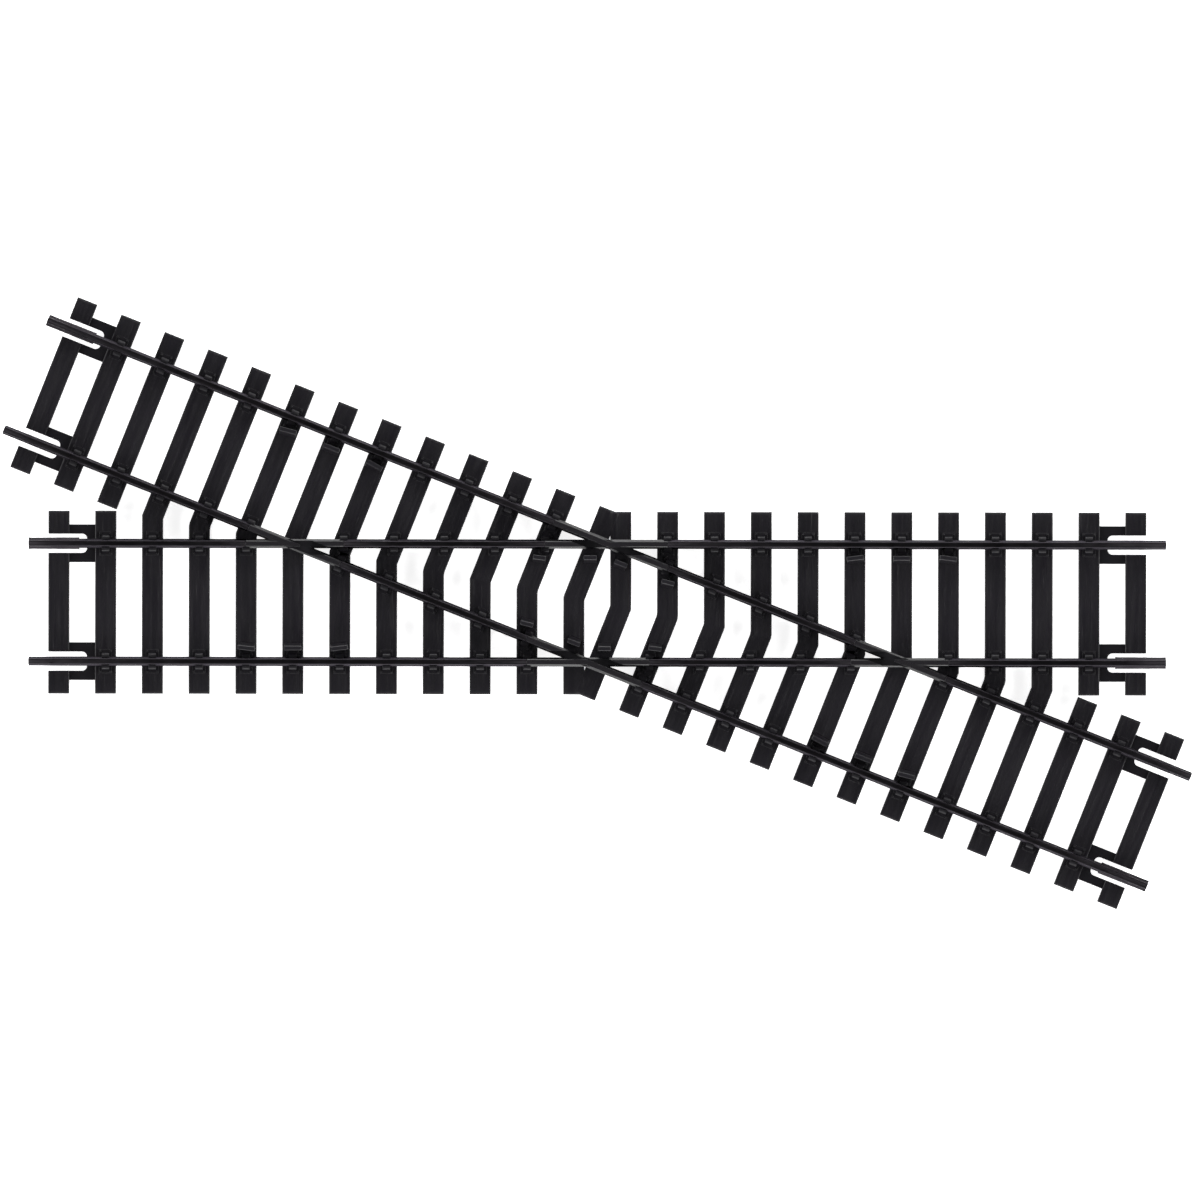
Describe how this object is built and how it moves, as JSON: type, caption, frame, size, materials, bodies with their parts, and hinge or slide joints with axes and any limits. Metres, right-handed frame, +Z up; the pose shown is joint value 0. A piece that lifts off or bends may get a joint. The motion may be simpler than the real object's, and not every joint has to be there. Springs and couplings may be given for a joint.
{
  "type": "model railway diamond crossing",
  "caption": "Fixed diamond crossing where two model railway tracks cross on one level, with moulded sleepers, moulded frogs and sliding rail joiners.",
  "frame": {"origin": "the point where the two track centre lines cross, on the underside of the sleeper base", "axes": "+X along the main track to the east end, +Y across it towards the north rail, +Z up from the board to the rail heads"},
  "size_m": [0.1758, 0.0902, 0.0045],
  "materials": {
    "base_plastic": "near-black moulded, matt, with a fine wood grain",
    "frog_plastic": "black moulded, satin on the running surfaces",
    "rail_metal": "chemically blackened, lightly polished on the head",
    "joiner_metal": "blackened folded strip",
    "wire_copper": "bare tinned-end copper wire, hidden under the base"
  },
  "bodies": {
    "crossing": {"sleeper_base": "base_plastic", "rail_main_north_short": "rail_metal", "rail_main_north_middle": "rail_metal", "rail_main_north_long": "rail_metal", "rail_main_south_short": "rail_metal", "rail_main_south_middle": "rail_metal", "rail_main_south_long": "rail_metal", "rail_cross_north_short": "rail_metal", "rail_cross_north_middle": "rail_metal", "rail_cross_north_long": "rail_metal", "rail_cross_south_short": "rail_metal", "rail_cross_south_middle": "rail_metal", "rail_cross_south_long": "rail_metal", "frog_acute_west": "frog_plastic", "frog_acute_east": "frog_plastic", "frog_obtuse_north": "frog_plastic", "frog_obtuse_south": "frog_plastic", "bond_main_north_acute": "wire_copper", "bond_main_north_obtuse": "wire_copper", "bond_main_south_acute": "wire_copper", "bond_main_south_obtuse": "wire_copper", "bond_cross_north_acute": "wire_copper", "bond_cross_north_obtuse": "wire_copper", "bond_cross_south_acute": "wire_copper", "bond_cross_south_obtuse": "wire_copper"},
    "joiner_main_east": {"joiner_main_east": "joiner_metal"},
    "joiner_main_west": {"joiner_main_west": "joiner_metal"},
    "joiner_cross_east": {"joiner_cross_east": "joiner_metal"},
    "joiner_cross_west": {"joiner_cross_west": "joiner_metal"}
  },
  "joints": [
    {"name": "joiner_main_east_slide", "type": "slide", "parent": "crossing", "child": "joiner_main_east", "axis": [1, 0, 0], "range_m": [0, 0.00375]},
    {"name": "joiner_main_west_slide", "type": "slide", "parent": "crossing", "child": "joiner_main_west", "axis": [-1, 0, 0], "range_m": [0, 0.00375]},
    {"name": "joiner_cross_east_slide", "type": "slide", "parent": "crossing", "child": "joiner_cross_east", "axis": [0.9292, -0.3696, 0], "range_m": [0, 0.00375]},
    {"name": "joiner_cross_west_slide", "type": "slide", "parent": "crossing", "child": "joiner_cross_west", "axis": [-0.9292, 0.3696, 0], "range_m": [0, 0.00375]}
  ]
}
